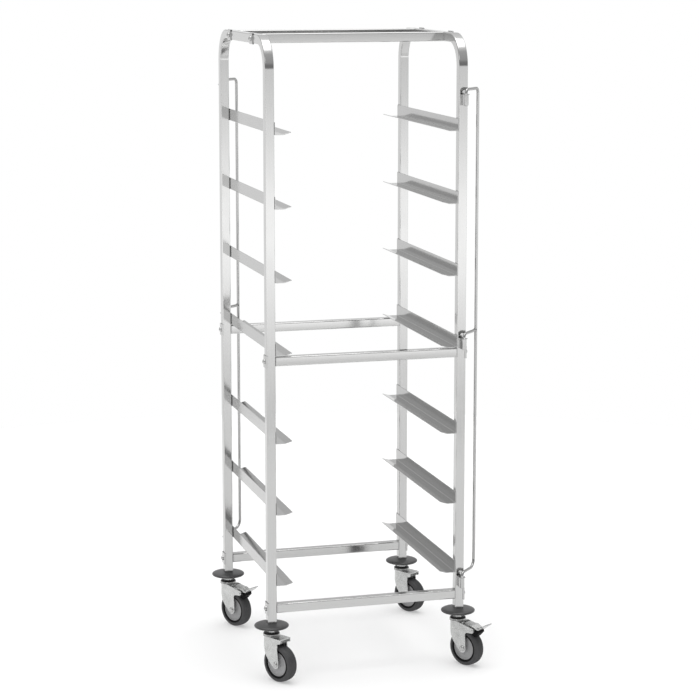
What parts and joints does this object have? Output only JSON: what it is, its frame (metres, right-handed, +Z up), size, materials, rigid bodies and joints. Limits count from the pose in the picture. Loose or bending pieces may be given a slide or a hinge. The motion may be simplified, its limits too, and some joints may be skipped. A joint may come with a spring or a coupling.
{
  "type": "runner trolley",
  "caption": "Mobile bent-tube runner trolley for trays or baskets, with swinging locking bars, bumper discs and braked swivel castors.",
  "frame": {"origin": "on the floor, half way between the four posts", "axes": "+Z up, X across the trolley, -Y its front, where trays go in; Y runs along the runners"},
  "size_m": [0.6463, 0.7205, 1.7325],
  "materials": {
    "stainless_tube": "bright, finely brushed along the tube",
    "stainless_sheet": "bright rolled sheet",
    "stainless_plate": "satin, cut edges",
    "bright_rod": "polished drawn rod",
    "bolt_steel": "bright, with washer-face scratches",
    "zinc_plate": "bright zinc plate on pressed sheet",
    "bumper_rubber": "satin moulded",
    "black_cover": "satin moulded",
    "hub_plastic": "satin moulded",
    "tyre_rubber": "matt, fine rings round the tread",
    "black_rubber": "matt moulded"
  },
  "bodies": {
    "frame": {"side_frame_left": "stainless_tube", "side_frame_right": "stainless_tube", "bottom_crossbar_front": "stainless_tube", "bottom_crossbar_rear": "stainless_tube", "middle_crossbar_front": "stainless_tube", "middle_crossbar_rear": "stainless_tube", "top_crossbar_front": "stainless_tube", "top_crossbar_rear": "stainless_tube", "bar_end_plates": "stainless_plate", "bar_saddles": "stainless_plate", "bar_bolts": "bolt_steel", "runner_left_1": "stainless_sheet", "runner_right_1": "stainless_sheet", "runner_left_2": "stainless_sheet", "runner_right_2": "stainless_sheet", "runner_left_3": "stainless_sheet", "runner_right_3": "stainless_sheet", "runner_left_4": "stainless_sheet", "runner_right_4": "stainless_sheet", "runner_left_5": "stainless_sheet", "runner_right_5": "stainless_sheet", "runner_left_6": "stainless_sheet", "runner_right_6": "stainless_sheet", "runner_left_7": "stainless_sheet", "runner_right_7": "stainless_sheet", "pivot_brackets_front": "stainless_plate", "pivot_brackets_rear": "stainless_plate", "dust_covers": "black_cover", "bumper_front_left": "bumper_rubber", "bumper_front_right": "bumper_rubber", "bumper_rear_left": "bumper_rubber", "bumper_rear_right": "bumper_rubber", "castor_stem_front_left": "zinc_plate", "castor_stem_front_right": "zinc_plate", "castor_stem_rear_left": "zinc_plate", "castor_stem_rear_right": "zinc_plate"},
    "locking_bar_front": {"locking_bar_front": "bright_rod"},
    "locking_bar_rear": {"locking_bar_rear": "bright_rod"},
    "castor_front_left": {"fork_front_left": "zinc_plate", "axle_front_left": "bolt_steel"},
    "wheel_front_left": {"wheel_hub_front_left": "hub_plastic", "tyre_front_left": "tyre_rubber"},
    "castor_front_right": {"fork_front_right": "zinc_plate", "axle_front_right": "bolt_steel"},
    "wheel_front_right": {"wheel_hub_front_right": "hub_plastic", "tyre_front_right": "tyre_rubber"},
    "brake_front_right": {"brake_pedal_front_right": "zinc_plate", "brake_shoe_front_right": "black_rubber"},
    "castor_rear_left": {"fork_rear_left": "zinc_plate", "axle_rear_left": "bolt_steel"},
    "wheel_rear_left": {"wheel_hub_rear_left": "hub_plastic", "tyre_rear_left": "tyre_rubber"},
    "brake_rear_left": {"brake_pedal_rear_left": "zinc_plate", "brake_shoe_rear_left": "black_rubber"},
    "castor_rear_right": {"fork_rear_right": "zinc_plate", "axle_rear_right": "bolt_steel"},
    "wheel_rear_right": {"wheel_hub_rear_right": "hub_plastic", "tyre_rear_right": "tyre_rubber"}
  },
  "joints": [
    {"name": "front_bar_swing", "type": "hinge", "parent": "frame", "child": "locking_bar_front", "pos_m": [0.265, -0.2995, 0.9], "axis": [0, 0, 1], "range_deg": [-227, 0]},
    {"name": "rear_bar_swing", "type": "hinge", "parent": "frame", "child": "locking_bar_rear", "pos_m": [-0.265, 0.2995, 0.9], "axis": [0, 0, 1], "range_deg": [-42.5, 184.5]},
    {"name": "castor_swivel_front_left", "type": "hinge", "parent": "frame", "child": "castor_front_left", "pos_m": [-0.265, -0.265, 0.12], "axis": [0, 0, 1], "continuous": true},
    {"name": "wheel_spin_front_left", "type": "hinge", "parent": "castor_front_left", "child": "wheel_front_left", "pos_m": [-0.24786, -0.2932, 0.05], "axis": [0.8545, 0.5195, 0], "continuous": true},
    {"name": "castor_swivel_front_right", "type": "hinge", "parent": "frame", "child": "castor_front_right", "pos_m": [0.265, -0.265, 0.12], "axis": [0, 0, 1], "continuous": true},
    {"name": "wheel_spin_front_right", "type": "hinge", "parent": "castor_front_right", "child": "wheel_front_right", "pos_m": [0.28214, -0.2932, 0.05], "axis": [0.8545, 0.5195, 0], "continuous": true},
    {"name": "brake_press_front_right", "type": "hinge", "parent": "castor_front_right", "child": "brake_front_right", "pos_m": [0.29928, -0.32139, 0.10601], "axis": [0.8545, 0.5195, 0], "range_deg": [0, 10]},
    {"name": "castor_swivel_rear_left", "type": "hinge", "parent": "frame", "child": "castor_rear_left", "pos_m": [-0.265, 0.265, 0.12], "axis": [0, 0, 1], "continuous": true},
    {"name": "wheel_spin_rear_left", "type": "hinge", "parent": "castor_rear_left", "child": "wheel_rear_left", "pos_m": [-0.24786, 0.2368, 0.05], "axis": [0.8545, 0.5195, 0], "continuous": true},
    {"name": "brake_press_rear_left", "type": "hinge", "parent": "castor_rear_left", "child": "brake_rear_left", "pos_m": [-0.23072, 0.20861, 0.10601], "axis": [0.8545, 0.5195, 0], "range_deg": [0, 10]},
    {"name": "castor_swivel_rear_right", "type": "hinge", "parent": "frame", "child": "castor_rear_right", "pos_m": [0.265, 0.265, 0.12], "axis": [0, 0, 1], "continuous": true},
    {"name": "wheel_spin_rear_right", "type": "hinge", "parent": "castor_rear_right", "child": "wheel_rear_right", "pos_m": [0.28214, 0.2368, 0.05], "axis": [0.8545, 0.5195, 0], "continuous": true}
  ]
}
